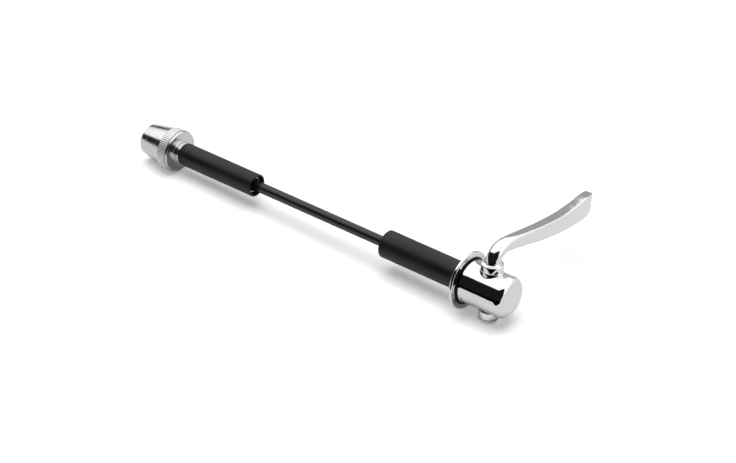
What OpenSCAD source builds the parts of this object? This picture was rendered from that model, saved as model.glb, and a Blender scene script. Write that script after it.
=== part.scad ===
// Thru axle adapter: a quick-release skewer with two loose sleeves, so that a 12 mm thru axle frame
// can be clamped in a stand or trainer made for plain quick-release wheels.
//
// Frame: the skewer's axis is X, with the lever end towards +X and the nut end towards -X.
// X = 0 is the face of the head's flange that bears on the frame. The cam shaft is upright, along Z,
// and the closed lever points along +Y. Sizes are millimetres.

/* [Clamped frame] */
// Distance from the flange's face to the nut's face, as set on the thread
clamp_length = 156.2; // [148:0.1:162]
// Length of each loose sleeve
sleeve_length = 41.2; // [30:0.1:60]
// Diameter of the sleeve by the head, for a plain 12 mm dropout
near_sleeve_d = 12; // [11.5:0.1:13]
// Diameter of the sleeve by the nut, for a threaded dropout
far_sleeve_d = 10; // [9.6:0.1:11]

/* [Rod] */
// Diameter of the rod's shank
rod_d = 4.58; // [4.3:0.02:4.7]
// Outside diameter of the rod's thread
thread_d = 5; // [4.8:0.05:5.2]
// Distance the nut moves for one turn
thread_pitch = 0.8; // [0.8:0.1:1]
// Diameter of the rod's head, before it is flattened into an eye
head_d = 9.4; // [9:0.1:9.6]
// Thickness of the flattened eye, along the cam shaft
eye_t = 5.6; // [5:0.1:5.8]

/* [Housing] */
// Diameter of the housing's cylinder
housing_d = 18; // [17:0.1:20]
// Length of the housing, from the flange's face to the end of the dome
housing_len = 23; // [22:0.5:26]
// Radius of the dome's edge
dome_round = 3.4; // [2:0.1:4.5]
// Diameter of the flange
flange_d = 25; // [23:0.5:28]
// Thickness of the flange
flange_t = 1.5; // [1.2:0.1:2]
// Radius of the hollow fillet between the flange and the cylinder
flange_fillet = 1.7; // [1:0.1:2.2]
// Distance of the cam shaft's axis from the flange's face
cam_x = 12; // [11.5:0.1:13]
// Height of the round pad that the lever's collar turns on, above the skewer's axis
pad_z = 9.6; // [9.3:0.1:10]

/* [Cam shaft] */
// How far the cam stands off the shaft's axis, which is half the rod's travel
cam_throw = 0.8; // [0.5:0.05:0.9]
// Diameter of the cam
cam_d = 4.8; // [4.4:0.1:4.8]
// Diameter of the shaft's upper journal
journal_d = 7.6; // [7.2:0.1:8]
// Diameter of the shaft's lower journal
tail_d = 4.6; // [4.4:0.1:4.6]
// Diameter of the stud that the cap screws on
stud_d = 3.9; // [3.6:0.1:4]
// Diameter of the round cap under the housing
cap_d = 8.2; // [7.8:0.1:8.6]
// Height of the cap
cap_h = 4.5; // [4:0.1:5]
// Thickness of the washer between the housing and the cap
washer_t = 0.6; // [0.5:0.05:0.8]

/* [Lever] */
// Diameter of the lever's collar
collar_d = 9.46; // [9.2:0.02:9.8]
// Height of the lever's collar
collar_h = 3; // [2.6:0.1:3.4]
// Diameter of the arm where it leaves the collar
neck_d = 6.3; // [6:0.1:7]
// Reach of the arm from the cam shaft to the tip
lever_reach = 69.2; // [60:0.2:75]
// Height of the middle of the arm's bend above the skewer's axis
bend_z = 18; // [17.4:0.1:19]
// Thickness of the paddle across its broad face
paddle_t = 4.1; // [3.6:0.1:4.6]
// Height of the paddle near its tip
paddle_h = 9.8; // [8.6:0.1:11]

/* [End nut] */
// Length of the nut from its clamping face to its small end
nut_len = 17.8; // [16:0.1:20]
// Diameter over the knurl
knurl_d = 19.1; // [18.5:0.1:20]
// Width of the knurled band
knurl_w = 4.7; // [4:0.1:6]
// Number of ribs round the knurl
knurl_ribs = 64; // [48:1:72]
// Diameter of the cone where it meets the knurl
cone_d = 18; // [17.4:0.1:18.4]
// Diameter of the cone at its small end
cone_end_d = 13.4; // [12.5:0.1:14.5]
// Length of the boss that stands out of the clamping face
boss_len = 2.8; // [2:0.1:4]
// Diameter of the boss
boss_d = 10; // [9.6:0.1:10.8]

/* [Inside the sleeves] */
// Depth of the hollow in each sleeve's inner end
core_depth = 9; // [5:0.5:12]
// Thickness of the sleeve's wall round the hollow
core_wall = 0.75; // [0.7:0.05:1]
// Outside diameter of the steel liner pressed into each sleeve
liner_d = 6.8; // [6.4:0.1:7]
// Wall thickness of the liner
liner_wall = 0.4; // [0.3:0.05:0.5]
// How far the liner stops short of the sleeve's inner end
liner_set = 1.6; // [0.5:0.1:3]

/* [Hidden] */
$fn = 96;

// The flange's face is set back round the skewer as wide as a sleeve, so only its outer ring bears
face_relief = 0.3;

// Clearances. Running fits are on the radius.
run_gap = 0.04;
head_gap = 0.06;
sleeve_gap = 0.1;
thread_gap = 0.03;
float_gap = 0.05;
// Room on each side of the cam, because its true path is a sine and the eye is moved evenly
eye_gap = 0.25;
// Cutters and joined volumes reach this far past each other
over = 0.5;

housing_r = housing_d / 2;
flange_r = flange_d / 2;
rim_r = flange_t / 2;
rod_r = rod_d / 2;
thread_r = thread_d / 2;
cam_r = cam_d / 2;
journal_r = journal_d / 2;
tail_r = tail_d / 2;
stud_r = stud_d / 2;
collar_r = collar_d / 2;
neck_r = neck_d / 2;

// The pad is a little wider than the collar, and flares out where it meets the cylinder
pad_lip = 0.45;
pad_flare = 0.9;
pad_r = collar_r + pad_lip;
flare_z = pad_z - 2.2;
flare_h = 1.8;

// A spot face under the housing takes the washer
seat_depth = 0.6;
washer_lip = 1.3;
seat_lip = 0.5;
seat_z = seat_depth - housing_r;
washer_r = tail_r + washer_lip;
seat_r = washer_r + seat_lip;
washer_z0 = seat_z - float_gap - washer_t;
cap_z0 = washer_z0 - cap_h;

// Edges of the turned parts, and the closed bottom of the cap
edge = 0.3;
chamfer = 0.5;
cap_edge = 0.4;
cap_floor = 1.1;

// The eye at rest: the lever is closed, so the cam holds the rod at its outermost place
eye_x = cam_x + cam_throw;
eye_wall = 1.7;
slot_end_gap = 0.15;
slot_half_x = cam_r + eye_gap;
slot_half_y = cam_r + cam_throw + slot_end_gap;
head_x0 = eye_x - slot_half_x - eye_wall;
head_x1 = eye_x + slot_half_x + eye_wall;
head_neck = 3;
head_edge = 0.6;
head_play = 0.9;
bore_len = head_x1 + head_play;
step_gap = 0.2;
shaft_step = eye_t / 2 + step_gap;

// Places along the skewer at the nut end
nut_x = -clamp_length;
far_x1 = nut_x + boss_len;
far_x0 = far_x1 + sleeve_length;
nut_end_x = nut_x - nut_len;
rod_inset = 2.4;
rod_end_x = nut_end_x + rod_inset;
thread_len = 24;
thread_end_x = rod_end_x + thread_len;

// The nylon ring sits in a recess in the nut's small end
ring_len = 2.4;
ring_recess = 0.9;
ring_wall = 2;
ring_r = thread_r + ring_wall;

// Sleeves: closing wall at the plain end, and the small edges of the inner and plain ends
end_wall = 3;
inner_edge = 0.15;
plain_edge = 0.4;

// Knurl: depth of the ribs, share of the pitch that is flat on top, and where the root lies
knurl_depth = 0.36;
rib_top = 0.3;
rib_root = 0.65;
// Plain bright edge of the nut between the knurl and the clamping face, and its bevel
face_edge = 0.8;
face_bevel = 0.7;
end_bevel = 0.6;

function mix(a, b, t) = a + (b - a) * t;
function unit(v) = v / norm(v);

// Turns a profile about the skewer's axis. In the profile, x is the radius and y runs along +X.
module turned_on_skewer() {
    rotate([90, 0, 90]) rotate_extrude() children();
}

// A plain round bar along the skewer, from x0 to x1
module bar(r, x0, x1) {
    translate([x0, 0, 0]) rotate([0, 90, 0]) cylinder(r = r, h = x1 - x0);
}

// A round bar with both ends chamfered, as a profile
module bar_profile(r, x0, x1, c0, c1) {
    polygon([[0, x0], [r - c0, x0], [r, x0 + c0], [r, x1 - c1], [r - c1, x1], [0, x1]]);
}

// Outer form of the housing: flange with a round rim, hollow fillet, cylinder and domed end
module housing_profile() {
    intersection() {
        square([flange_r + over, housing_len]);
        union() {
            square([flange_r - rim_r, flange_t]);
            translate([flange_r - rim_r, rim_r]) circle(rim_r);
            square([housing_r, housing_len - dome_round]);
            square([housing_r - dome_round, housing_len]);
            translate([housing_r - dome_round, housing_len - dome_round]) circle(dome_round);
            difference() {
                translate([housing_r - over, flange_t - rim_r])
                    square([flange_fillet + over, flange_fillet + rim_r]);
                translate([housing_r + flange_fillet, flange_t + flange_fillet]) circle(flange_fillet);
            }
        }
    }
}

module housing() {
    color("gainsboro")
    difference() {
        union() {
            turned_on_skewer() housing_profile();
            translate([cam_x, 0, 0]) cylinder(r = pad_r, h = pad_z);
            translate([cam_x, 0, flare_z]) cylinder(r1 = pad_r + pad_flare, r2 = pad_r, h = flare_h);
        }
        bar(head_d / 2 + head_gap, -over, bore_len);
        bar(near_sleeve_d / 2 + sleeve_gap, -over, face_relief);
        translate([cam_x, 0, 0]) cylinder(r = journal_r + run_gap, h = pad_z + over);
        translate([cam_x, 0, -housing_r - over]) cylinder(r = tail_r + run_gap, h = housing_r + over);
        translate([cam_x, 0, -housing_r - over]) cylinder(r = seat_r, h = housing_r + over + seat_z);
    }
}

// Shaft of the lever, turned and then ground off centre for the cam, from the stud up to the collar
module cam_shaft() {
    translate([cam_x, 0, 0]) {
        translate([0, 0, pad_z]) rotate_extrude()
            polygon([[0, 0], [collar_r - edge, 0], [collar_r, edge], [collar_r, collar_h - edge],
                     [collar_r - edge, collar_h], [0, collar_h]]);
        translate([0, 0, shaft_step]) cylinder(r = journal_r, h = pad_z - shaft_step + over);
        translate([cam_throw, 0, -shaft_step - over])
            cylinder(r = cam_r, h = 2 * (shaft_step + over));
        translate([0, 0, seat_z - float_gap])
            cylinder(r = tail_r, h = float_gap - shaft_step - seat_z);
        translate([0, 0, cap_z0 + cap_floor]) cylinder(r = stud_r, h = seat_z - cap_z0);
    }
}

// The arm is a loft. Each station gives the middle of the section, its half thickness, its half
// height and its corner radius: round at the neck, then a flat blade that deepens to the paddle.
reach = lever_reach;
arm_z = bend_z;
neck_z = pad_z + collar_h;
thin = paddle_t / 2;
tall = paddle_h / 2;
blade_edge = 0.6;
last_reach = 0.915 * reach;
stations = [
    [[cam_x, 0, neck_z - 1.2], neck_r, neck_r, neck_r],
    [[cam_x, 0.2, neck_z + 0.8], neck_r, neck_r, neck_r],
    [[cam_x, 1.5, arm_z - 2.2], neck_r, neck_r, neck_r],
    [[cam_x + 0.1, 4.3, arm_z - 0.5], neck_r, neck_r, neck_r],
    [[cam_x + 0.3, 0.125 * reach, arm_z], neck_r - 0.1, neck_r - 0.1, 2.7],
    [[cam_x + 0.7, 0.25 * reach, arm_z - 1.1], mix(neck_r, thin, 0.4), neck_r - 0.1, 1.9],
    [[cam_x + 1.1, 0.43 * reach, arm_z - 3.1], mix(neck_r, thin, 0.85), 0.7 * tall, 0.9],
    [[cam_x + 1.1, 0.62 * reach, arm_z - 4.6], thin, 0.76 * tall, blade_edge],
    [[cam_x + 0.3, 0.79 * reach, arm_z - 5.6], thin - 0.1, 0.9 * tall, blade_edge],
    [[cam_x - 0.8, last_reach, arm_z - 6.1], thin - 0.2, tall, blade_edge]
];
// The tip is rounded off over this length, in thickness and in height, more below than above
tip_len = reach - last_reach;
tip_rise = 1.1;
tip_thin = 0.7;
tip_low = 3.2;
tip_dir = unit(pick(last_station())[0] - pick(last_station() - 1)[0]);
tip_steps = 5;
arm_steps = 4;
corner_steps = 4;

// Catmull-Rom curve through the stations, for a point or a number
function smooth(p, t) = 0.5 * (2 * p[1] + (p[2] - p[0]) * t
    + (2 * p[0] - 5 * p[1] + 4 * p[2] - p[3]) * t * t
    + (3 * p[1] - p[0] - 3 * p[2] + p[3]) * t * t * t);
function last_station() = len(stations) - 1;
function pick(i) = stations[max(0, min(last_station(), i))];
function blend(i, k, t) = smooth([for (j = [-1:2]) pick(i + j)[k]], t);

arm_row = [for (i = [0:last_station() - 1]) for (s = [0:arm_steps - 1])
    [for (k = [0:3]) blend(i, k, s / arm_steps)]];
tip_row = [for (s = [0:tip_steps])
    let (q = 90 * s / tip_steps, g = 1 - cos(q), e = pick(last_station()))
    [e[0] + tip_dir * tip_len * sin(q) + [0, 0, tip_rise * g], e[1] - tip_thin * g,
     e[2] - tip_low * g, e[3]]];
arm = concat(arm_row, tip_row);

// Direction of the arm at row i, from its neighbours, and straight on through the tip
function heading(i) = i >= len(arm_row) ? tip_dir : unit(arm[i + 1][0] - arm[max(0, i - 1)][0]);

// One section: a ring of points round a rectangle with round corners, square to the direction d.
// The corners keep just short of meeting, so that no two points fall together.
corner_gap = 0.001;
function across(d) = unit([1, 0, 0] - d * d[0]);
function ring(middle, d, a, b, corner) =
    let (u = across(d), v = cross(d, u), r = min(corner, a, b) - corner_gap)
    [for (c = [0:3]) for (j = [0:corner_steps])
        let (q = 90 * c + 90 * j / corner_steps,
             sx = (c == 0 || c == 3) ? 1 : -1, sy = (c < 2) ? 1 : -1)
        middle + u * (sx * (a - r) + r * cos(q)) + v * (sy * (b - r) + r * sin(q))];

// Closed solid through a list of rings with the same number of points
module loft(rings) {
    n = len(rings[0]);
    last = len(rings) - 1;
    points = [for (one = rings) each one];
    sides = [for (i = [0:last - 1]) for (j = [0:n - 1])
        let (a = i * n + j, b = i * n + (j + 1) % n) each [[a, b + n, b], [a, a + n, b + n]]];
    polyhedron(points, concat(sides, [[for (j = [0:n - 1]) j]],
        [[for (j = [n - 1:-1:0]) last * n + j]]));
}

module arm_loft() {
    loft([for (i = [0:len(arm) - 1]) ring(arm[i][0], heading(i), arm[i][1], arm[i][2], arm[i][3])]);
}

// The back of the blade is hollowed: a rim is left round the hollow and a web at its bottom. The
// hollow fades in from the neck and ends short of the tip.
hollow_rim = 1;
hollow_web = 1.1;
hollow_corner = 1;
hollow_from = 5 * arm_steps;
hollow_to = len(arm_row);
hollow_fade = 4;
hollow_end = 1.5;
function fade(i) = sin(90 * min(1, (i - hollow_from + hollow_end / 2) / hollow_fade,
    (hollow_to - i + hollow_end / 2) / hollow_end));

module back_hollow() {
    loft([for (i = [hollow_from:hollow_to])
        let (d = heading(i), deep = fade(i) * (2 * arm[i][1] - hollow_web), a = (deep + over) / 2)
        ring(arm[i][0] - across(d) * (arm[i][1] + over - a), d, a,
             (arm[i][2] - hollow_rim) * mix(0.5, 1, fade(i)), hollow_corner)]);
}

module lever() {
    color("silver") {
        cam_shaft();
        difference() {
            arm_loft();
            back_hollow();
        }
    }
}

module cam_washer() {
    color("dimgray")
    translate([cam_x, 0, washer_z0]) difference() {
        cylinder(r = washer_r, h = washer_t);
        translate([0, 0, -over]) cylinder(r = stud_r, h = washer_t + 2 * over);
    }
}

module retaining_cap() {
    color("gainsboro")
    translate([cam_x, 0, cap_z0]) difference() {
        rotate_extrude()
            polygon([[0, 0], [cap_d / 2 - cap_edge, 0], [cap_d / 2, cap_edge],
                     [cap_d / 2, cap_h - edge], [cap_d / 2 - edge, cap_h], [0, cap_h]]);
        translate([0, 0, cap_floor]) cylinder(r = stud_r, h = cap_h);
    }
}

// The eye: a round head flattened above and below, with a slot across for the cam
module rod_eye() {
    difference() {
        intersection() {
            turned_on_skewer()
                polygon([[0, head_x0 - head_neck], [rod_r, head_x0 - head_neck],
                         [head_d / 2, head_x0], [head_d / 2, head_x1 - head_edge],
                         [head_d / 2 - head_edge, head_x1], [0, head_x1]]);
            translate([head_x0 - head_neck, -head_d / 2, -eye_t / 2])
                cube([head_x1 - head_x0 + head_neck, head_d, eye_t]);
        }
        for (side = [-1, 1])
            translate([eye_x, side * (slot_half_y - slot_half_x), -eye_t])
                cylinder(r = slot_half_x, h = 2 * eye_t);
        translate([eye_x - slot_half_x, -(slot_half_y - slot_half_x), -eye_t])
            cube([2 * slot_half_x, 2 * (slot_half_y - slot_half_x), 2 * eye_t]);
    }
}

module skewer_rod() {
    color([0.1, 0.1, 0.11])
    union() {
        rod_eye();
        bar(rod_r, thread_end_x, head_x0 - head_neck + over);
        turned_on_skewer()
            polygon([[0, rod_end_x], [thread_r - chamfer, rod_end_x], [thread_r, rod_end_x + chamfer],
                     [thread_r, thread_end_x - thread_pitch], [rod_r, thread_end_x],
                     [0, thread_end_x]]);
    }
}

// A moulded sleeve, drawn with its hollow inner end at x = 0 and its plain end at x = length.
// The bore takes the liner as far as a closing wall at the plain end.
module sleeve(d, length) {
    difference() {
        turned_on_skewer() bar_profile(d / 2, 0, length, inner_edge, plain_edge);
        bar(thread_r + sleeve_gap, -over, length + over);
        bar(liner_d / 2, -over, length - end_wall);
        bar(d / 2 - core_wall, -over, core_depth);
    }
}

// Steel tube inside a sleeve, in the same place along x as sleeve() draws it
module liner(length) {
    difference() {
        bar(liner_d / 2, liner_set, length - end_wall);
        bar(liner_d / 2 - liner_wall, liner_set - over, length - end_wall + over);
    }
}

module place_near() {
    translate([-sleeve_length, 0, 0]) children();
}

module place_far() {
    translate([far_x0, 0, 0]) mirror([1, 0, 0]) children();
}

module near_sleeve() {
    color([0.16, 0.16, 0.17]) place_near() sleeve(near_sleeve_d, sleeve_length);
}

module near_liner() {
    color("silver") place_near() liner(sleeve_length);
}

module far_sleeve() {
    color([0.16, 0.16, 0.17]) place_far() sleeve(far_sleeve_d, sleeve_length);
}

module far_liner() {
    color("silver") place_far() liner(sleeve_length);
}

// Straight knurl: flat-topped ribs round the rim, trimmed by a chamfer at both ends
knurl_x1 = nut_x - face_edge;
knurl_x0 = knurl_x1 - knurl_w;
knurl_r = knurl_d / 2;
module knurl_band() {
    step = 360 / knurl_ribs;
    intersection() {
        translate([knurl_x0, 0, 0]) rotate([90, 0, 90]) linear_extrude(knurl_w)
            polygon([for (k = [0:knurl_ribs - 1])
                for (p = [[0, 0], [rib_top, 0], [rib_root, knurl_depth]])
                    let (q = step * (k + p[0]), r = knurl_r - p[1]) [r * cos(q), r * sin(q)]]);
        turned_on_skewer()
            bar_profile(knurl_r + inner_edge, knurl_x0, knurl_x1, chamfer, chamfer);
    }
}

// Plain form of the nut: small end, cone, core under the knurl, bright edge, clamping face and boss.
// The core reaches up into the ribs.
module nut_profile() {
    core = knurl_r - knurl_depth - thread_gap;
    polygon([[0, nut_end_x], [cone_end_d / 2 - end_bevel, nut_end_x],
             [cone_end_d / 2, nut_end_x + end_bevel], [cone_d / 2, knurl_x0],
             [core, knurl_x0], [core, knurl_x1], [knurl_r - edge, knurl_x1],
             [knurl_r - face_bevel, nut_x], [boss_d / 2, nut_x], [boss_d / 2, far_x1 - edge],
             [boss_d / 2 - edge, far_x1], [0, far_x1]]);
}

module end_nut() {
    color("gainsboro")
    difference() {
        union() {
            turned_on_skewer() nut_profile();
            knurl_band();
        }
        bar(thread_r + thread_gap, nut_end_x - over, far_x1 + over);
        bar(ring_r, nut_end_x - over, nut_end_x + ring_recess + ring_len);
    }
}

module lock_ring() {
    color("ivory")
    translate([nut_end_x + ring_recess, 0, 0]) rotate([0, 90, 0]) difference() {
        cylinder(r = ring_r - thread_gap, h = ring_len);
        translate([0, 0, -over]) cylinder(r = thread_r + thread_gap, h = ring_len + 2 * over);
    }
}

housing();
lever();
cam_washer();
retaining_cap();
skewer_rod();
near_sleeve();
near_liner();
far_sleeve();
far_liner();
end_nut();
lock_ring();
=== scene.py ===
import math

import bmesh
import bpy
from mathutils import Matrix, Vector


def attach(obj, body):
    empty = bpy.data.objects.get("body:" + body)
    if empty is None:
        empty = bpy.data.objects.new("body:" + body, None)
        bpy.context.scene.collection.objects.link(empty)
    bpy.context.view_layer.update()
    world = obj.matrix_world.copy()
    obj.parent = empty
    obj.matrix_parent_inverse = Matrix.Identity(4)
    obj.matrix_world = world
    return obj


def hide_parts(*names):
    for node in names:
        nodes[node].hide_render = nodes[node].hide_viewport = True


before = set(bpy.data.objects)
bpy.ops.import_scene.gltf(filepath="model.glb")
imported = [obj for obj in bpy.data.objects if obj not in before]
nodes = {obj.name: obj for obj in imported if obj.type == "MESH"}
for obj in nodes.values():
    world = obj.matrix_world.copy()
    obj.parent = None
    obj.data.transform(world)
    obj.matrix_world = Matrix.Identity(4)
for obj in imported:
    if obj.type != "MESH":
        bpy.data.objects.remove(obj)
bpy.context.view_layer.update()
scene = bpy.context.scene
mm = 0.001
print("frame loaded:", ", ".join(sorted(nodes)))


# Shape helpers. All sizes are in millimetres until newObject scales them.
def newObject(name, bm, smooth=True):
    bmesh.ops.remove_doubles(bm, verts=bm.verts, dist=1e-4)
    bmesh.ops.recalc_face_normals(bm, faces=bm.faces)
    bmesh.ops.scale(bm, vec=(mm, mm, mm), verts=bm.verts)
    mesh = bpy.data.meshes.new(name)
    bm.to_mesh(mesh)
    bm.free()
    obj = bpy.data.objects.new(name, mesh)
    scene.collection.objects.link(obj)
    if smooth:
        mesh.shade_smooth()
        mesh.set_sharp_from_angle(angle=math.radians(32))
    return obj


def rounded(points, steps=7):
    # points are (t, r) or (t, r, radius): each radius turns its corner into an arc
    loop = []
    for i, point in enumerate(points):
        here = Vector(point[:2])
        radius = point[2] if len(point) > 2 else 0
        if not radius:
            loop.append(here)
            continue
        toLast = (Vector(points[i - 1][:2]) - here).normalized()
        toNext = (Vector(points[(i + 1) % len(points)][:2]) - here).normalized()
        half = toLast.angle(toNext) / 2
        centre = here + (toLast + toNext).normalized() * (radius / math.sin(half))
        start = here + toLast * (radius / math.tan(half)) - centre
        end = here + toNext * (radius / math.tan(half)) - centre
        sweep = start.angle_signed(end)
        for k in range(steps + 1):
            turn = Matrix.Rotation(-sweep * k / steps, 2)
            loop.append(centre + turn @ start)
    return loop


def turned(name, points, axis="X", centre=(0, 0, 0), segments=192, closed=True):
    # a closed outline turned about an axis: t runs along the axis and r is the radius
    loop = rounded(points)
    bm = bmesh.new()
    rings = []
    for t, r in loop:
        ring = []
        for k in range(segments if r > 1e-6 else 1):
            q = 2 * math.pi * k / segments
            if axis == "X":
                place = (t, r * math.cos(q), r * math.sin(q))
            else:
                place = (r * math.cos(q), r * math.sin(q), t)
            ring.append(bm.verts.new(Vector(place) + Vector(centre)))
        rings.append(ring)
    last = len(rings) if closed else len(rings) - 1
    for i in range(last):
        a, b = rings[i], rings[(i + 1) % len(rings)]
        for k in range(segments):
            n = (k + 1) % segments
            if len(a) > 1 and len(b) > 1:
                bm.faces.new((a[k], a[n], b[n], b[k]))
            elif len(b) > 1:
                bm.faces.new((a[0], b[n], b[k]))
            elif len(a) > 1:
                bm.faces.new((a[k], a[n], b[0]))
    return newObject(name, bm)


def settle(obj):
    # applies the modifiers by making the evaluated shape the object's own mesh
    result = bpy.data.meshes.new_from_object(
        obj.evaluated_get(bpy.context.evaluated_depsgraph_get()))
    obj.modifiers.clear()
    old = obj.data
    obj.data = result
    bpy.data.meshes.remove(old)
    result.name = obj.name
    return obj


def cut(obj, tool, operation="DIFFERENCE"):
    step = obj.modifiers.new("cut", "BOOLEAN")
    step.object = tool
    step.operation = operation
    step.solver = "EXACT"
    settle(obj)
    bpy.data.objects.remove(tool)
    return obj


def takeNormals(obj, clean, reach=0.03, weld=0.002):
    # the small gaps that cutting leaves are closed, and a cut surface gets its smooth shading back
    # from the clean shapes that it was made of
    bm = bmesh.new()
    bm.from_mesh(obj.data)
    bmesh.ops.remove_doubles(bm, verts=bm.verts, dist=weld * mm)
    bmesh.ops.holes_fill(bm, edges=[e for e in bm.edges if e.is_boundary], sides=8)
    bm.to_mesh(obj.data)
    bm.free()
    obj.data.shade_smooth()
    obj.data.set_sharp_from_angle(angle=math.radians(32))
    for source in clean:
        step = obj.modifiers.new("normals", "DATA_TRANSFER")
        step.object = source
        step.use_loop_data = True
        step.data_types_loops = {"CUSTOM_NORMAL"}
        step.loop_mapping = "POLYINTERP_NEAREST"
        step.use_max_distance = True
        step.max_distance = reach * mm
    settle(obj)
    for source in clean:
        bpy.data.objects.remove(source)
    return obj


def copyOf(obj, name):
    other = obj.copy()
    other.data = obj.data.copy()
    other.name = name
    scene.collection.objects.link(other)
    return other


def srgb(text):
    channels = [int(text[i:i + 2], 16) / 255 for i in (1, 3, 5)]
    return tuple(c / 12.92 if c <= 0.04045 else ((c + 0.055) / 1.055) ** 2.4 for c in channels) + (1,)


def addNode(tree, kind, inputs=None, **settings):
    node = tree.nodes.new(kind)
    for key, value in settings.items():
        setattr(node, key, value)
    for key, value in (inputs or {}).items():
        if isinstance(value, bpy.types.NodeSocket):
            tree.links.new(value, node.inputs[key])
        else:
            node.inputs[key].default_value = value
    return node


def mathOf(tree, operation, *values):
    return addNode(tree, "ShaderNodeMath", dict(enumerate(values)), operation=operation).outputs[0]


def axesOf(tree, vector):
    return addNode(tree, "ShaderNodeSeparateXYZ", {"Vector": vector}).outputs


def tint(tree, shader, fac, low, high):
    # base colour that runs from low to high as fac goes from 0 to 1
    tone = addNode(tree, "ShaderNodeMix", {"Factor": fac, "A": srgb(low), "B": srgb(high)},
                   data_type="RGBA")
    tree.links.new(tone.outputs["Result"], shader.inputs["Base Color"])


def newMaterial(name, colour, roughness, metallic=0.0, ior=None, gloss=None):
    material = bpy.data.materials.new(name)
    material.use_nodes = True
    material.diffuse_color = srgb(colour)
    tree = material.node_tree
    shader = tree.nodes["Principled BSDF"]
    shader.inputs["Base Color"].default_value = srgb(colour)
    shader.inputs["Roughness"].default_value = roughness
    shader.inputs["Metallic"].default_value = metallic
    if ior:
        shader.inputs["IOR"].default_value = ior
    if gloss is not None:
        shader.inputs["Specular IOR Level"].default_value = gloss
    return material, tree, shader


def noiseOf(tree, vector, size, detail=2.0):
    # size is the grain in millimetres
    return addNode(tree, "ShaderNodeTexNoise",
                   {"Vector": vector, "Scale": 1 / (size * mm), "Detail": detail}).outputs["Fac"]


def spread(tree, fac, low, high, fromLow=0.3, fromHigh=0.7):
    return addNode(tree, "ShaderNodeMapRange",
                   {"Value": fac, "From Min": fromLow, "From Max": fromHigh,
                    "To Min": low, "To Max": high}).outputs["Result"]


def objectPlace(tree):
    return addNode(tree, "ShaderNodeTexCoord").outputs["Object"]


def bumpOf(tree, shader, height, depth, strength=1.0):
    # depth is the height of the relief in millimetres
    bump = addNode(tree, "ShaderNodeBump",
                   {"Height": height, "Distance": depth * mm, "Strength": strength})
    tree.links.new(bump.outputs["Normal"], shader.inputs["Normal"])


def turningRings(tree):
    # distance along and out from the skewer's axis, so that noise on it gives a lathe's fine rings
    place = axesOf(tree, objectPlace(tree))
    square = mathOf(tree, "MULTIPLY_ADD", place["Z"], place["Z"],
                    mathOf(tree, "MULTIPLY", place["Y"], place["Y"]))
    return addNode(tree, "ShaderNodeCombineXYZ",
                   {"X": place["X"], "Y": mathOf(tree, "SQRT", square)}).outputs["Vector"]


def band(tree, value, low, high, soft):
    # 1 where the value, in millimetres, lies between low and high, with soft edges
    masks = [addNode(tree, "ShaderNodeMapRange",
                     {"Value": value, "From Min": a * mm, "From Max": b * mm},
                     interpolation_type="SMOOTHSTEP").outputs["Result"]
             for a, b in ((low, low + soft), (high, high - soft))]
    return mathOf(tree, "MULTIPLY", *masks)


def chromePlate(s):
    # nickel-chrome on turned and polished steel: mirror bright, with a slight waviness and faint
    # feed rings
    material, tree, shader = newMaterial("chromePlate", "#d3d4d5", 0.06, metallic=1.0)
    place = objectPlace(tree)
    rings = turningRings(tree)
    wave = noiseOf(tree, place, 3.2, 1.0)
    haze = noiseOf(tree, place, 1.1, 4.0)
    # real feed marks are about 0.1 mm: drawn at 0.3 mm so that they show
    fine = noiseOf(tree, rings, 0.3, 2.0)
    tree.links.new(spread(tree, haze, 0.035, 0.09), shader.inputs["Roughness"])
    bumpOf(tree, shader, mathOf(tree, "MULTIPLY_ADD", fine, 0.26, wave), 0.035)
    # painted shade: a dark ring in the corner beside the flange stands for the shadow in a groove there,
    # which is not modelled
    where = axesOf(tree, rings)
    corner = mathOf(tree, "MULTIPLY", band(tree, where["X"], *s["shadeAlong"], 0.3),
                    band(tree, where["Y"], *s["shadeOut"], 0.15))
    tint(tree, shader, corner, "#d3d4d5", "#1b1b1c")
    return material


def knurledChrome(s):
    # chrome over the knurl: bright on the ribs, with painted shade that darkens them down their sides
    # towards the roots
    material, tree, shader = newMaterial("knurledChrome", "#f4f4f4", 0.55, metallic=1.0)
    radius = axesOf(tree, turningRings(tree))["Y"]
    low, high = (s["knurlRadius"] - depth for depth in s["ribShade"])
    tint(tree, shader, spread(tree, radius, 0, 1, low * mm, high * mm), "#050505", "#f4f4f4")
    return material


def turnedChrome(s):
    # chrome over a turned surface: the lathe's rings stay in the plate and soften its reflections
    material, tree, shader = newMaterial("turnedChrome", "#d3d4d5", 0.15, metallic=1.0)
    rings = turningRings(tree)
    # real feed marks are about 0.1 mm: drawn at 0.35 mm so that they show
    fine = noiseOf(tree, rings, 0.35, 3.0)
    tree.links.new(spread(tree, fine, 0.1, 0.24), shader.inputs["Roughness"])
    bumpOf(tree, shader, fine, 0.05)
    # the floor of the knurl's grooves is part of this piece, and painted shade darkens it there
    where = axesOf(tree, rings)
    first, last = knurlEnds(s)
    core = knurlCore(s)
    grooveShade = mathOf(tree, "MULTIPLY", band(tree, where["X"], first + 0.08, last + 0.05, 0.05),
                    band(tree, where["Y"], core - 0.11, core + 0.14, 0.05))
    tint(tree, shader, grooveShade, "#c3c4c5", "#0c0c0d")
    return material


def polishedForging():
    # aluminium forging, barrel polished: soft bright metal with a faint mottle
    material, tree, shader = newMaterial("polishedForging", "#d9d9da", 0.1, metallic=1.0)
    place = objectPlace(tree)
    mottle = noiseOf(tree, place, 1.6, 5.0)
    swell = noiseOf(tree, place, 6.0, 1.0)
    tree.links.new(spread(tree, mottle, 0.06, 0.15), shader.inputs["Roughness"])
    bumpOf(tree, shader, mathOf(tree, "MULTIPLY_ADD", mottle, 0.25, swell), 0.05)
    return material


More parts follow.
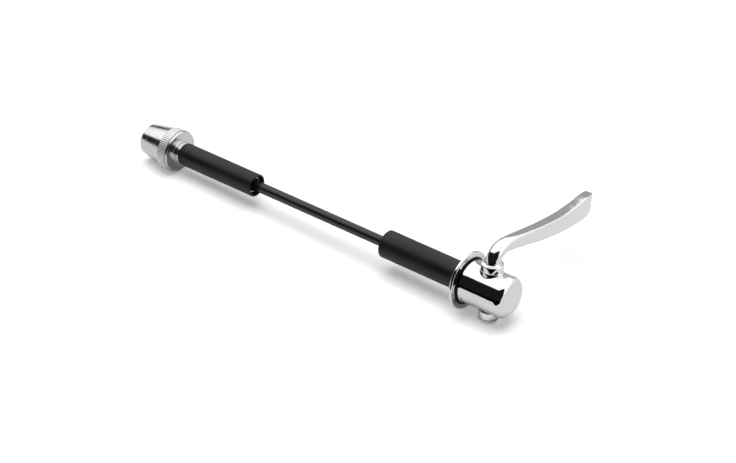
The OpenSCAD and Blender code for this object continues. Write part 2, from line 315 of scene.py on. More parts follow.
def satinBlackSteel():
    # rod with a thin black coat: smooth, with a satin gloss and faint drawing lines
    material, tree, shader = newMaterial("satinBlackSteel", "#090909", 0.3, ior=1.5, gloss=0.42)
    place = objectPlace(tree)
    stretched = addNode(tree, "ShaderNodeMapping", {"Vector": place, "Scale": (0.06, 1, 1)})
    lines = noiseOf(tree, stretched.outputs["Vector"], 0.7, 2.0)
    tree.links.new(spread(tree, lines, 0.24, 0.36), shader.inputs["Roughness"])
    bumpOf(tree, shader, lines, 0.006)
    return material


def mouldedNylonBlack():
    # glass filled nylon from a spark-eroded mould: matt, with a fine even grain
    material, tree, shader = newMaterial("mouldedNylonBlack", "#0b0b0c", 0.45, ior=1.5, gloss=0.28)
    place = objectPlace(tree)
    # the real grain is about 0.1 mm: drawn at 0.4 mm so that it shows
    grain = noiseOf(tree, place, 0.4, 2.0)
    cloud = noiseOf(tree, place, 9.0, 2.0)
    tree.links.new(spread(tree, cloud, 0.38, 0.5), shader.inputs["Roughness"])
    bumpOf(tree, shader, grain, 0.03)
    return material


def darkPressedSteel():
    # pressed steel washer: dull and dark, as its edge shows between two chromed pieces
    return newMaterial("darkPressedSteel", "#2a2a2b", 0.4, metallic=1.0)[0]


def drawnSteel():
    # plain drawn steel tube: bright, with fine lines
    material, tree, shader = newMaterial("drawnSteel", "#b9b9b8", 0.3, metallic=1.0)
    rings = turningRings(tree)
    fine = noiseOf(tree, rings, 0.4, 2.0)
    tree.links.new(spread(tree, fine, 0.24, 0.4), shader.inputs["Roughness"])
    bumpOf(tree, shader, fine, 0.006)
    return material


def naturalNylon():
    # uncoloured nylon: ivory and waxy, with a faint cloudiness
    material, tree, shader = newMaterial("naturalNylon", "#e0dccb", 0.42, ior=1.53)
    place = objectPlace(tree)
    cloud = noiseOf(tree, place, 2.0, 3.0)
    tint(tree, shader, cloud, "#d6d1bd", "#e8e5d8")
    bumpOf(tree, shader, cloud, 0.02)
    return material


def turnedCapPlate(s):
    # chrome over a plainly turned cap: satin, with a painted reflection round it: a dark line where the
    # chamfer's edge would show, above the modelled chamfer
    material, tree, shader = newMaterial("turnedCapPlate", "#ececec", 0.26, metallic=1.0)
    height = axesOf(tree, objectPlace(tree))["Z"]
    low, high = (s["low"] + rise for rise in s["edgeReflectionLine"])
    tint(tree, shader, band(tree, height, low, high, 0.12), "#ececec", "#3a3a3b")
    return material


leverMetal = polishedForging()
rodCoat = satinBlackSteel()
sleeveNylon = mouldedNylonBlack()
plainSteel = drawnSteel()
darkSteel = darkPressedSteel()
ringNylon = naturalNylon()
print("plain materials made:", len(bpy.data.materials))


def dress(obj, material):
    obj.data.materials.clear()
    obj.data.materials.append(material)


def place(obj, material, body, slot, *stands):
    dress(obj, material)
    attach(obj, body)
    if stands:
        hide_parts(*stands)


housingSizes = {
    "radius": 9.0, "length": 23.0, "domeRound": 3.4,
    "flangeRadius": 12.5, "flangeThickness": 1.5, "fillet": 1.7,
    "camX": 12.0, "padZ": 9.6, "padRadius": 4.8, "padRound": 0.25,
    "padFillet": 0.35, "filletLeast": 0.12, "filletClear": 0.3,
    "boreRadius": 4.76, "boreLength": 18.05, "reliefRadius": 6.1, "reliefDepth": 0.3,
    "journalHole": 3.84, "tailHole": 2.34, "spotRadius": 4.1, "spotZ": -8.4,
    # band of painted shade in the corner beside the flange: along the axis and out from it
    "shadeAlong": (1.0, 3.0), "shadeOut": (9.1, 10.4),
}


def saddlePad(name, s, segments=160):
    # the pad's wall runs out into the cylinder through a hollow fillet
    R, rho, f = s["radius"], s["padRadius"], s["padFillet"]
    edge, least, clear = s["padRound"], s["filletLeast"], s["filletClear"]
    bm = bmesh.new()
    columns = []
    for k in range(segments):
        q = 2 * math.pi * k / segments

        def surface(r):
            return math.sqrt(R * R - (r * math.sin(q)) ** 2)
        column = [(rho - edge, s["padZ"])]
        for j in range(1, 5):
            e = math.pi / 2 * j / 4
            column.append((rho - edge + edge * math.sin(e), s["padZ"] - edge + edge * math.cos(e)))
        # curved fillet between the upright wall and the cylinder's slope at its foot
        foot = rho + f
        slope = -foot * math.sin(q) ** 2 / surface(foot)
        zFoot = surface(foot)
        lift = max(min(f, s["padZ"] - clear - 0.05 - zFoot + slope * f), least)
        top = min(zFoot - slope * f + lift, s["padZ"] - clear)
        p0, p1, p2 = (rho, top), (rho, zFoot - slope * f), (foot, zFoot)
        for j in range(0, 13):
            t = j / 12
            column.append(tuple((1 - t) ** 2 * p0[i] + 2 * t * (1 - t) * p1[i] + t * t * p2[i]
                                for i in (0, 1)))
        column.append((foot + 0.12, zFoot + slope * 0.12 - 0.03))
        column.append((foot + 0.2, zFoot - 0.8))
        column.append((rho, 4.5))
        columns.append([bm.verts.new((s["camX"] + r * math.cos(q), r * math.sin(q), z))
                        for r, z in column])
    for k in range(segments):
        a, b = columns[k], columns[(k + 1) % segments]
        for j in range(len(a) - 1):
            bm.faces.new((a[j], a[j + 1], b[j + 1], b[j]))
    bm.faces.new([c[0] for c in columns])
    bm.faces.new([c[-1] for c in reversed(columns)])
    return newObject(name, bm)


def makeHousing(s):
    R, F, T = s["radius"], s["flangeRadius"], s["flangeThickness"]
    body = turned("housing_body", [
        (s["reliefDepth"], s["boreRadius"], 0.12), (s["reliefDepth"], s["reliefRadius"]),
        (0, s["reliefRadius"], 0.08), (0, F, T / 2 - 0.001), (T, F, T / 2 - 0.001),
        (T, R, s["fillet"]), (s["length"], R, s["domeRound"]), (s["length"], 0),
        (s["boreLength"], 0), (s["boreLength"], s["boreRadius"])], segments=256)
    pad = saddlePad("pad", s)
    clean = [copyOf(body, "cleanBody"), copyOf(pad, "cleanPad")]
    cut(body, pad, "UNION")
    # the shaft's holes and the cap's seat, each from inside the bore or wall to past the housing
    inside, past = 2, 12
    for start, end, radius in ((inside, past, s["journalHole"]), (-past, 0, s["tailHole"]),
                               (-past, s["spotZ"], s["spotRadius"])):
        outline = [(start, 0), (start, radius), (end, radius), (end, 0)]
        cut(body, turned("hole", outline, "Z", (s["camX"], 0, 0), 96))
    return takeNormals(body, clean)


housing = makeHousing(housingSizes)
place(housing, chromePlate(housingSizes), "head", "chrome", "housing")
print("housing made:", len(housing.data.polygons), "faces")


leverSizes = {
    "camX": 12.0, "reach": 69.2, "bendZ": 18.0, "collarRadius": 4.73, "collarHeight": 3.0,
    "padZ": 9.6, "neckRadius": 3.15, "halfThick": 2.05, "halfTall": 4.9, "bladeEdge": 0.6,
    "neckFillet": 0.7, "camThrow": 0.8, "camRadius": 2.4, "journalRadius": 3.8,
    "tailRadius": 2.3, "studRadius": 1.95, "shaftStep": 3.0, "tailEnd": -8.45, "studEnd": -12.45,
    "tipRise": 2.15, "tipThin": 0.45, "tipLow": 2.15, "backFuller": 0.45,
    "hollowRim": 1.0, "hollowWeb": 1.1, "hollowCorner": 1.0,
}


def leverArm(s, armSteps=10, tipSteps=14, cornerSteps=7):
    x, reach, top = s["camX"], s["reach"], s["bendZ"]
    r, thin, tall, edge = s["neckRadius"], s["halfThick"], s["halfTall"], s["bladeEdge"]
    neckZ = s["padZ"] + s["collarHeight"]
    lastReach = 0.925 * reach
    # the blade stands past the solid at its back by twice this, as the photo shows it fuller
    back = s["backFuller"]

    def mix(a, b, t):
        return a + (b - a) * t

    # middle of the section, half thickness, half height, corner radius
    stations = [
        ((x, 0, neckZ - 1.2), r, r, r),
        ((x, 0.2, neckZ + 0.8), r, r, r),
        ((x, 1.5, top - 2.2), r, r, r),
        ((x + 0.1, 4.3, top - 0.5), r, r, r),
        ((x + 0.3, 0.125 * reach, top), r - 0.1, r - 0.1, 2.7),
        ((x + 0.7 - 0.3 * back, 0.25 * reach, top - 1.1), mix(r, thin, 0.4) + 0.3 * back, r - 0.1, 1.9),
        ((x + 1.1 - 0.6 * back, 0.43 * reach, top - 3.1), mix(r, thin, 0.85) + 0.6 * back, 0.7 * tall, 0.9),
        ((x + 1.1 - back, 0.62 * reach, top - 4.6), thin + back, 0.76 * tall, edge),
        ((x + 0.3 - back, 0.79 * reach, top - 5.6), thin - 0.1 + back, 0.9 * tall, edge),
        ((x - 0.8 - back, lastReach, top - 6.1), thin - 0.2 + back, tall, edge),
    ]
    stations = [(Vector(a), b, c, d) for a, b, c, d in stations]
    last = len(stations) - 1

    def pick(i):
        return stations[max(0, min(last, i))]

    def smooth(a, b, c, d, t):
        return 0.5 * (2 * b + (c - a) * t + (2 * a - 5 * b + 4 * c - d) * t * t
                      + (3 * b - a - 3 * c + d) * t * t * t)

    rows = []
    for i in range(last):
        for k in range(armSteps):
            rows.append([smooth(pick(i - 1)[n], pick(i)[n], pick(i + 1)[n], pick(i + 2)[n],
                                k / armSteps) for n in range(4)])
    armRows = len(rows)
    tipDir = (pick(last)[0] - pick(last - 1)[0]).normalized()
    end = pick(last)
    for k in range(tipSteps + 1):
        q = math.pi / 2 * k / tipSteps
        g = 1 - math.cos(q)
        rows.append([end[0] + tipDir * (reach - lastReach) * math.sin(q)
                     + Vector((0, 0, s["tipRise"] * g)),
                     end[1] - s["tipThin"] * g, end[2] - s["tipLow"] * g, end[3]])

    def across(d):
        return (Vector((1, 0, 0)) - d * d.x).normalized()

    def heading(i):
        if i >= armRows:
            return tipDir
        return (rows[i + 1][0] - rows[max(0, i - 1)][0]).normalized()

    def ring(middle, d, a, b, corner):
        u = across(d)
        v = d.cross(u)
        c = min(corner, a, b) - 0.001
        points = []
        for quarter in range(4):
            sx = 1 if quarter in (0, 3) else -1
            sy = 1 if quarter < 2 else -1
            for j in range(cornerSteps + 1):
                q = math.pi / 2 * (quarter + j / cornerSteps)
                points.append(middle + u * (sx * (a - c) + c * math.cos(q))
                              + v * (sy * (b - c) + c * math.sin(q)))
        return points

    def loft(name, rings):
        bm = bmesh.new()
        rings = [[bm.verts.new(p) for p in one] for one in rings]
        for a, b in zip(rings, rings[1:]):
            for k in range(len(a)):
                n = (k + 1) % len(a)
                bm.faces.new((a[k], a[n], b[n], b[k]))
        bm.faces.new(rings[0])
        bm.faces.new(list(reversed(rings[-1])))
        return newObject(name, bm)

    arm = loft("leverArm", [ring(m, heading(i), a, b, c) for i, (m, a, b, c) in enumerate(rows)])
    # hollow in the back of the blade, over the same stretch as in the solid, run out at both ends
    first, final = 5 * armSteps, armRows
    ahead, runIn, runOut = 0.75, 4, 1.5
    hollow = []
    for i in range(first, final + 1):
        middle, a, b, corner = rows[i]
        d = heading(i)
        step = 4 / armSteps
        fade = math.sin(math.pi / 2 * min(1, ((i - first) * step + ahead) / runIn,
                                          ((final - i) * step + ahead) / runOut))
        deep = fade * (2 * a - s["hollowWeb"])
        half = (deep + 0.5) / 2
        hollow.append(ring(middle - across(d) * (a + 0.5 - half), d, half,
                           (b - s["hollowRim"]) * mix(0.5, 1, fade), s["hollowCorner"]))
    return arm, loft("leverHollow", hollow)


def makeLever(s):
    centre = (s["camX"], 0, 0)
    z, h, c = s["padZ"], s["collarHeight"], s["collarRadius"]
    collar = turned("lever_forging", [
        (z, 0), (z, c, 0.2), (z + h, c, 0.45), (z + h, s["neckRadius"], s["neckFillet"]),
        (z + h + 1.0, s["neckRadius"] - 0.02), (z + h + 1.0, 0)], "Z", centre, 128, closed=False)
    arm, hollow = leverArm(s)
    clean = [copyOf(collar, "cleanCollar"), copyOf(arm, "cleanArm")]
    cut(arm, hollow)
    cut(collar, arm, "UNION")
    step, over = s["shaftStep"], 0.5
    cut(collar, turned("journal", [(step, 0), (step, s["journalRadius"], 0.15),
                                   (z + over, s["journalRadius"]), (z + over, 0)],
                       "Z", centre, 96, closed=False), "UNION")
    cam = turned("cam", [(-step - over, 0), (-step - over, s["camRadius"]),
                         (step + over, s["camRadius"]), (step + over, 0)], "Z",
                 (s["camX"] + s["camThrow"], 0, 0), 96, closed=False)
    cut(collar, cam, "UNION")
    cut(collar, turned("tail", [(s["tailEnd"], 0), (s["tailEnd"], s["tailRadius"]),
                                (-step, s["tailRadius"]), (-step, 0)],
                       "Z", centre, 96, closed=False), "UNION")
    cut(collar, turned("stud", [(s["studEnd"], 0), (s["studEnd"], s["studRadius"]),
                                (s["tailEnd"] + over, s["studRadius"]), (s["tailEnd"] + over, 0)],
                       "Z", centre, 96, closed=False), "UNION")
    return takeNormals(collar, clean)


lever = makeLever(leverSizes)
place(lever, leverMetal, "lever", "lever", "lever")
print("lever made:", len(lever.data.polygons), "faces")


capSizes = {"camX": 12.0, "radius": 4.1, "low": -13.55, "high": -9.05, "chamfer": 0.4,
            # painted reflection: the dark line round the cap, as heights above its bottom
            "bore": 1.95, "floor": 1.1, "edgeReflectionLine": (1.05, 1.5)}


def makeCap(s):
    return turned("retaining_cap_body", [
        (s["low"], 0), (s["low"], s["radius"] - s["chamfer"], 0.15),
        (s["low"] + s["chamfer"], s["radius"], 0.15), (s["high"], s["radius"], 0.3),
        (s["high"], s["bore"]), (s["low"] + s["floor"], s["bore"]), (s["low"] + s["floor"], 0)],
        "Z", (s["camX"], 0, 0), 128, closed=False)


cap = makeCap(capSizes)
place(cap, turnedCapPlate(capSizes), "lever", "chrome", "retaining_cap")
dress(nodes["cam_washer"], darkSteel)
print("cap made")


rodSizes = {
    "shankRadius": 2.29, "threadRadius": 2.5, "pitch": 0.8, "threadDepth": 0.45,
    "end": -171.6, "threadLength": 24.0, "eyeX": 12.8, "slotHalfX": 2.65, "slotHalfY": 3.35,
    "eyeWall": 1.7, "headRadius": 4.7, "headNeck": 3.0, "headEdge": 0.6, "eyeThick": 5.6,
}


def makeRod(s):
    x0 = s["eyeX"] - s["slotHalfX"] - s["eyeWall"]
    x1 = s["eyeX"] + s["slotHalfX"] + s["eyeWall"]
    root = s["threadRadius"] - s["threadDepth"]
    threadEnd = s["end"] + s["threadLength"]
    rod = turned("skewer_rod_body", [
        (s["end"], 0), (s["end"], root - 0.1, 0.15), (s["end"] + 0.6, root + 0.02),
        (threadEnd - 0.8, root + 0.02), (threadEnd - 0.2, s["shankRadius"]),
        (x0 - s["headNeck"], s["shankRadius"], 0.8), (x0, s["headRadius"], 0.4),
        (x1, s["headRadius"], s["headEdge"]), (x1, 0)], segments=96, closed=False)
    clean = [copyOf(rod, "cleanRod")]
    # two slabs flatten the head into the eye
    half = s["eyeThick"] / 2
    length, width, height = 30, 20, 10
    for side in (-1, 1):
        bm = bmesh.new()
        bmesh.ops.create_cube(bm, size=1)
        bmesh.ops.scale(bm, vec=(length, width, height), verts=bm.verts)
        bmesh.ops.translate(bm, verts=bm.verts, vec=(x0 - s["headNeck"] + length / 2, 0,
                                                     side * (half + height / 2)))
        cut(rod, newObject("slab", bm, smooth=False))
    bm = bmesh.new()
    ends = []
    for z in (-5, 5):
        ring = []
        for side in (-1, 1):
            for k in range(25):
                q = math.pi * k / 24 + (math.pi if side < 0 else 0)
                ring.append(bm.verts.new((
                    s["eyeX"] + s["slotHalfX"] * math.cos(q),
                    side * (s["slotHalfY"] - s["slotHalfX"]) + s["slotHalfX"] * math.sin(q), z)))
        ends.append(ring)
    for k in range(len(ends[0])):
        n = (k + 1) % len(ends[0])
        bm.faces.new((ends[0][k], ends[0][n], ends[1][n], ends[1][k]))
    bm.faces.new(ends[0])
    bm.faces.new(list(reversed(ends[1])))
    cut(rod, newObject("slot", bm))
    return takeNormals(rod, clean)


rod = makeRod(rodSizes)
place(rod, rodCoat, "rod", "black_rod", "skewer_rod")
print("rod made:", len(rod.data.polygons), "faces")


# The sleeves, liners and ring keep the CAD shapes
for name in ("near_sleeve", "far_sleeve"):
    dress(nodes[name], sleeveNylon)
for name in ("near_liner", "far_liner"):
    dress(nodes[name], plainSteel)
dress(nodes["lock_ring"], ringNylon)


nutSizes = {
    "face": -156.2, "length": 17.8, "knurlRadius": 9.55, "knurlWidth": 4.7, "ribs": 64,
    "grooveDepth": 0.42, "rootShare": 0.74, "topShare": 0.72, "endSlope": 0.35, "ribShade": (0.25, 0.05),
    "coneRadius": 9.0, "smallRadius": 6.7, "bossLength": 2.8, "bossRadius": 5.0,
    "faceEdge": 0.8, "threadHole": 2.53, "ringHole": 4.5, "ringDepth": 3.3,
}


def knurlEnds(s):
    last = s["face"] - s["faceEdge"]
    return last - s["knurlWidth"], last


def knurlCore(s):
    # the core stands a little above the ribs' feet, so that they are sunk in it
    return s["knurlRadius"] - s["grooveDepth"] + 0.03


def makeNut(s):
    x, e = s["face"], s["face"] - s["length"]
    k0, k1 = knurlEnds(s)
    core = knurlCore(s)
    return turned("end_nut_body", [
        (e, s["ringHole"], 0.12), (e, s["smallRadius"], 0.55), (k0, s["coneRadius"], 0.15),
        (k0 + 0.12, core), (k1, core), (k1, s["knurlRadius"] - 0.15, 0.12),
        (x, s["knurlRadius"] - 0.5, 0.45), (x, s["bossRadius"], 0.25),
        (x + s["bossLength"], s["bossRadius"], 0.25), (x + s["bossLength"], s["threadHole"]),
        (e + s["ringDepth"], s["threadHole"]), (e + s["ringDepth"], s["ringHole"])], segments=256)


def newTree(name, sizes):
    # a Geometry Nodes tree with one named input for each size
    tree = bpy.data.node_groups.new(name, "GeometryNodeTree")
    for label, value in sizes.items():
        kind = "NodeSocketInt" if isinstance(value, int) else "NodeSocketFloat"
        socket = tree.interface.new_socket(label, in_out="INPUT", socket_type=kind)
        socket.default_value = value
    tree.interface.new_socket("Geometry", in_out="OUTPUT", socket_type="NodeSocketGeometry")
    return tree, addNode(tree, "NodeGroupInput").outputs


def finishTree(tree, geometry, material):
    real = addNode(tree, "GeometryNodeRealizeInstances", {"Geometry": geometry})
    painted = addNode(tree, "GeometryNodeSetMaterial",
                      {"Geometry": real.outputs["Geometry"], "Material": material})
    addNode(tree, "NodeGroupOutput", {"Geometry": painted.outputs["Geometry"]})


def grown(name, tree, sizes):
    # runs a tree on an empty mesh, with its inputs set by socket identifier, and keeps the result
    obj = bpy.data.objects.new(name, bpy.data.meshes.new(name))
    scene.collection.objects.link(obj)
    step = obj.modifiers.new(name, "NODES")
    step.node_group = tree
    for item in tree.interface.items_tree:
        if item.in_out == "INPUT":
            step[item.identifier] = sizes[item.name]
    return settle(obj)


def knurlTree(sizes, material):
    # straight knurl: one rib, narrower at its top and sloped at its ends, turned about the axis as
    # many times as the rim has ribs
    tree, given = newTree("straightKnurl", sizes)
    half = mathOf(tree, "MULTIPLY", given["Band Width"], 0.5)
    size = addNode(tree, "ShaderNodeCombineXYZ", {"X": given["Band Width"], "Y": given["Root Width"],
                                                  "Z": given["Rib Depth"]}).outputs["Vector"]
    block = addNode(tree, "GeometryNodeMeshCube", {"Size": size, "Vertices X": 4})
    place = addNode(tree, "GeometryNodeInputPosition").outputs["Position"]
    at = addNode(tree, "ShaderNodeSeparateXYZ", {"Vector": place}).outputs
    top = mathOf(tree, "GREATER_THAN", at["Z"], 0.0)
    tip = mathOf(tree, "GREATER_THAN", mathOf(tree, "ABSOLUTE", at["X"]),
                 mathOf(tree, "MULTIPLY", half, 0.9))
    inner = mathOf(tree, "MULTIPLY", mathOf(tree, "SIGN", at["X"]),
                   mathOf(tree, "SUBTRACT", half, given["End Slope"]))
    x = mathOf(tree, "ADD", mathOf(tree, "MULTIPLY", at["X"], tip),
               mathOf(tree, "MULTIPLY", inner, mathOf(tree, "SUBTRACT", 1.0, tip)))
    narrow = mathOf(tree, "MULTIPLY", top, mathOf(tree, "SUBTRACT", given["Top Share"], 1.0))
    y = mathOf(tree, "MULTIPLY", at["Y"], mathOf(tree, "ADD", narrow, 1.0))
    drop = mathOf(tree, "MULTIPLY", mathOf(tree, "MULTIPLY", top, tip),
                  mathOf(tree, "MULTIPLY", given["Rib Depth"], 0.8))
    z = mathOf(tree, "SUBTRACT", at["Z"], drop)
    moved = addNode(tree, "ShaderNodeCombineXYZ", {"X": x, "Y": y, "Z": z}).outputs["Vector"]
    rib = addNode(tree, "GeometryNodeSetPosition",
                  {"Geometry": block.outputs["Mesh"], "Position": moved}).outputs["Geometry"]
    out = mathOf(tree, "SUBTRACT", given["Rim Radius"],
                 mathOf(tree, "MULTIPLY", given["Rib Depth"], 0.5))
    seat = addNode(tree, "ShaderNodeCombineXYZ",
                   {"X": mathOf(tree, "ADD", given["Band Start"], half), "Z": out})
    rib = addNode(tree, "GeometryNodeTransform",
                  {"Geometry": rib, "Translation": seat.outputs["Vector"]}).outputs["Geometry"]
    line = addNode(tree, "GeometryNodeMeshLine", {"Count": given["Ribs"], "Offset": (0, 0, 0)})
    index = addNode(tree, "GeometryNodeInputIndex").outputs["Index"]
    angle = mathOf(tree, "MULTIPLY", index, mathOf(tree, "DIVIDE", 2 * math.pi, given["Ribs"]))
    turn = addNode(tree, "ShaderNodeCombineXYZ", {"X": angle}).outputs["Vector"]
    placed = addNode(tree, "GeometryNodeInstanceOnPoints",
                     {"Points": line.outputs["Mesh"], "Instance": rib, "Rotation": turn})
    finishTree(tree, placed.outputs["Instances"], material)
    return tree


def makeKnurl(s, material):
    pitch = 2 * math.pi * s["knurlRadius"] / s["ribs"]
    sizes = {"Rim Radius": s["knurlRadius"] * mm, "Band Width": s["knurlWidth"] * mm,
             "Rib Depth": s["grooveDepth"] * mm, "Root Width": s["rootShare"] * pitch * mm,
             "Top Share": s["topShare"], "End Slope": s["endSlope"] * mm,
             "Band Start": knurlEnds(s)[0] * mm,
             "Ribs": s["ribs"]}
    return grown("end_nut_knurl", knurlTree(sizes, material), sizes)


def threadTree(sizes, material):
    # rolled thread: a diamond section swept along a helix, its inner half sunk in the core
    tree, given = newTree("rolledThread", sizes)
    turns = mathOf(tree, "DIVIDE", given["Length"], given["Pitch"])
    root = mathOf(tree, "SUBTRACT", given["Major Radius"], given["Depth"])
    helix = addNode(tree, "GeometryNodeCurveSpiral",
                    {"Resolution": 32, "Rotations": turns, "Start Radius": root,
                     "End Radius": root, "Height": given["Length"], "Reverse": True})
    upright = addNode(tree, "GeometryNodeSetCurveNormal", {"Curve": helix.outputs["Curve"]},
                      mode="Z_UP")
    flank = mathOf(tree, "MULTIPLY", given["Pitch"], 0.47)
    section = addNode(tree, "GeometryNodeCurvePrimitiveQuadrilateral",
                      {"Width": mathOf(tree, "MULTIPLY", given["Depth"], 2.0),
                       "Bottom Height": flank, "Top Height": flank}, mode="KITE")
    swept = addNode(tree, "GeometryNodeCurveToMesh",
                    {"Curve": upright.outputs["Curve"], "Profile Curve": section.outputs["Curve"],
                     "Fill Caps": True}).outputs["Mesh"]
    laid = addNode(tree, "GeometryNodeTransform",
                   {"Geometry": swept, "Rotation": (0, math.pi / 2, 0),
                    "Translation": addNode(tree, "ShaderNodeCombineXYZ",
                                           {"X": given["Start"]}).outputs["Vector"]})
    finishTree(tree, laid.outputs["Geometry"], material)
    return tree


nut = makeNut(nutSizes)
place(nut, turnedChrome(nutSizes), "nut", "chrome", "end_nut")
chromeKnurled = knurledChrome(nutSizes)
knurl = makeKnurl(nutSizes, chromeKnurled)
place(knurl, chromeKnurled, "nut", "chrome", "end_nut")
print("nut made:", len(nut.data.polygons) + len(knurl.data.polygons), "faces")


def makeThread(s, material):
    sizes = {"Major Radius": (s["threadRadius"] - 0.01) * mm, "Pitch": s["pitch"] * mm,
             "Depth": (s["threadDepth"] - 0.02) * mm, "Start": (s["end"] + 0.8) * mm,
             "Length": (s["threadLength"] - 2.2) * mm}
    return grown("skewer_rod_thread", threadTree(sizes, material), sizes)


thread = makeThread(rodSizes, rodCoat)
place(thread, rodCoat, "rod", "black_rod", "skewer_rod")
print("thread made:", len(thread.data.polygons), "faces")


studio = {
    "cameraAt": (0.5270699, -0.7576331, 0.5473420),
    "cameraRight": (0.7768145, 0.6278735, 0.0483122),
    "cameraUp": (-0.3452306, 0.3604478, 0.8665409),
    "lens": 129.853, "floorNormal": (0.02497, -0.0767, 0.99674), "floorAt": -13.467,
    "floorSize": 3.0, "floorCameraGlow": 0.27, "floorMirrorGlow": 0.02,
    # near edge of the black card, as azimuth and distance round the point it is set out from
    "flagMiddle": (12, 0, 0), "flagLift": 1.0,
    "flagEdge": ((-70, 80), (-45, 58), (-20, 42), (-5, 40), (8, 50), (30, 62), (46, 2300),
                 (-15, 3200), (-84, 3200)),
    # the room, by azimuth: level of the light that comes from there
    "darkLevel": 0.013, "walls": ((140, 190, 0.45), (54, 142, 1.12), (54, 78, 1.6)),
    # the soft box overhead: azimuth and height of each edge, in degrees
    "boxLevel": 1.75, "boxEdges": ((-37.5, 53.8), (-5, 58), (-140, 19), (150, 29)),
    "fillLevel": 3.8, "fillHalfAngle": 29, "fillLean": (-90, 3), "fillRest": 0.22,
}


def makeCamera(s):
    data = bpy.data.cameras.new("camera")
    data.sensor_fit = "HORIZONTAL"
    data.sensor_width = 36.0
    data.lens = s["lens"]
    data.clip_start, data.clip_end = 0.05, 20
    camera = bpy.data.objects.new("camera", data)
    scene.collection.objects.link(camera)
    right = Vector(s["cameraRight"]).normalized()
    back = right.cross(Vector(s["cameraUp"])).normalized()
    up = back.cross(right)
    matrix = Matrix((right, up, back)).transposed().to_4x4()
    matrix.translation = Vector(s["cameraAt"])
    camera.matrix_world = matrix
    scene.camera = camera
    return camera


def makeFloor(s):
    normal = Vector(s["floorNormal"]).normalized()
    side = normal.orthogonal().normalized()
    other = normal.cross(side)
    middle = normal * (s["floorAt"] * mm)
    half = s["floorSize"]
    bm = bmesh.new()
    corners = [middle + side * (a * half) + other * (b * half)
               for a, b in ((-1, -1), (1, -1), (1, 1), (-1, 1))]
    face = bm.faces.new([bm.verts.new(c) for c in corners])
    face.normal_update()
    if face.normal.dot(normal) < 0:
        face.normal_flip()
    mesh = bpy.data.meshes.new("studioFloor")
    bm.to_mesh(mesh)
    bm.free()
    floor = bpy.data.objects.new("studioFloor", mesh)
    scene.collection.objects.link(floor)
    # white paper sweep: a little light of its own for the camera keeps it white up to the shadows
    material, tree, shader = newMaterial("whiteSweep", "#f1f1f1", 0.9, gloss=0.0)
    rays = addNode(tree, "ShaderNodeLightPath").outputs
    mirrored = mathOf(tree, "MULTIPLY", rays["Is Glossy Ray"], s["floorMirrorGlow"])
    seen = mathOf(tree, "MULTIPLY_ADD", rays["Is Camera Ray"], s["floorCameraGlow"], mirrored)
    shader.inputs["Emission Color"].default_value = (1, 1, 1, 1)
    tree.links.new(seen, shader.inputs["Emission Strength"])
    dress(floor, material)
    return floor


def heading(s, azimuth):
    # level direction from the object, in degrees from the camera, to the camera's right
    normal = Vector(s["floorNormal"]).normalized()
    toward = Vector(s["cameraAt"])
    toward = (toward - normal * toward.dot(normal)).normalized()
    q = math.radians(azimuth)
    return toward * math.cos(q) + normal.cross(toward) * math.sin(q)


def makeFlag(s):
    # black card low on the camera's side, seen only in reflections, as a studio sets for chrome
    normal = Vector(s["floorNormal"]).normalized()
    lift = normal * ((s["floorAt"] + s["flagLift"]) * mm) + Vector(s["flagMiddle"]) * mm
    bm = bmesh.new()
    bm.faces.new([bm.verts.new(heading(s, azimuth) * (reach * mm) + lift)
                  for azimuth, reach in s["flagEdge"]])
    mesh = bpy.data.meshes.new("blackFlag")
    bm.to_mesh(mesh)
    bm.free()
    flag = bpy.data.objects.new("blackFlag", mesh)
    scene.collection.objects.link(flag)
    flag.visible_camera = False
    flag.visible_diffuse = False
    flag.visible_shadow = False
    dress(flag, newMaterial("blackFlocked", "#030303", 1.0, gloss=0.0)[0])


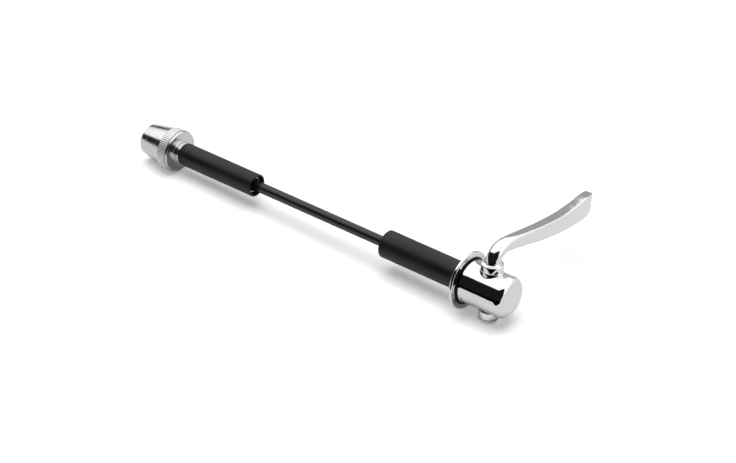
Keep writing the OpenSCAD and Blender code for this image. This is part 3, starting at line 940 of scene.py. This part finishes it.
def makeLight(s):
    # the room that the metal mirrors: a broad soft box overhead with straight edges, dark on the
    # camera's side, grey beyond, and white walls to the right of the lever
    world = bpy.data.worlds.new("studioRoom")
    scene.world = world
    world.use_nodes = True
    tree = world.node_tree
    tree.nodes.clear()
    way = addNode(tree, "ShaderNodeTexCoord").outputs["Generated"]
    normal = Vector(s["floorNormal"]).normalized()

    def past(direction, low, high):
        dot = addNode(tree, "ShaderNodeVectorMath", {0: way, 1: tuple(direction)},
                      operation="DOT_PRODUCT").outputs["Value"]
        return addNode(tree, "ShaderNodeMapRange", {"Value": dot, "From Min": low, "From Max": high},
                       interpolation_type="SMOOTHSTEP").outputs["Result"]

    def over(under, colour, mask):
        return addNode(tree, "ShaderNodeMix", {"Factor": mask, "A": under, "B": colour},
                       data_type="RGBA").outputs["Result"]

    def grey(level):
        return (level, level, level, 1)

    def times(masks):
        product = masks[0]
        for mask in masks[1:]:
            product = mathOf(tree, "MULTIPLY", product, mask)
        return product

    def between(first, last):
        return times([past(heading(s, first + 90), -0.05, 0.05),
                      past(heading(s, last - 90), -0.05, 0.05)])

    def above(azimuth, height):
        # straight edge of the soft box, whose nearest point lies at this azimuth and height
        q = math.radians(height)
        return past(normal * math.cos(q) - heading(s, azimuth) * math.sin(q), -0.035, 0.035)

    room = grey(s["darkLevel"])
    for first, last, level in s["walls"]:
        room = over(room, grey(level), between(first, last))
    room = over(room, grey(s["boxLevel"]), times([above(*edge) for edge in s["boxEdges"]]))
    rays = addNode(tree, "ShaderNodeLightPath").outputs
    # what isn't a mirror is lit by a narrow patch overhead instead, so that shadows stay short
    rim = math.cos(math.radians(s["fillHalfAngle"]))
    lean, tilt = s["fillLean"][0], math.radians(s["fillLean"][1])
    middle = normal * math.cos(tilt) + heading(s, lean) * math.sin(tilt)
    fill = over(grey(s["fillRest"]), grey(s["fillLevel"]), past(middle, rim - 0.03, rim + 0.03))
    room = over(fill, room, rays["Is Glossy Ray"])
    room = over(room, grey(1.0), rays["Is Camera Ray"])
    ground = addNode(tree, "ShaderNodeBackground", {"Color": room, "Strength": 1.0})
    addNode(tree, "ShaderNodeOutputWorld", {"Surface": ground.outputs["Background"]})


camera = makeCamera(studio)
floor = makeFloor(studio)
makeFlag(studio)
makeLight(studio)
scene.view_settings.view_transform = "Standard"
print("studio made")
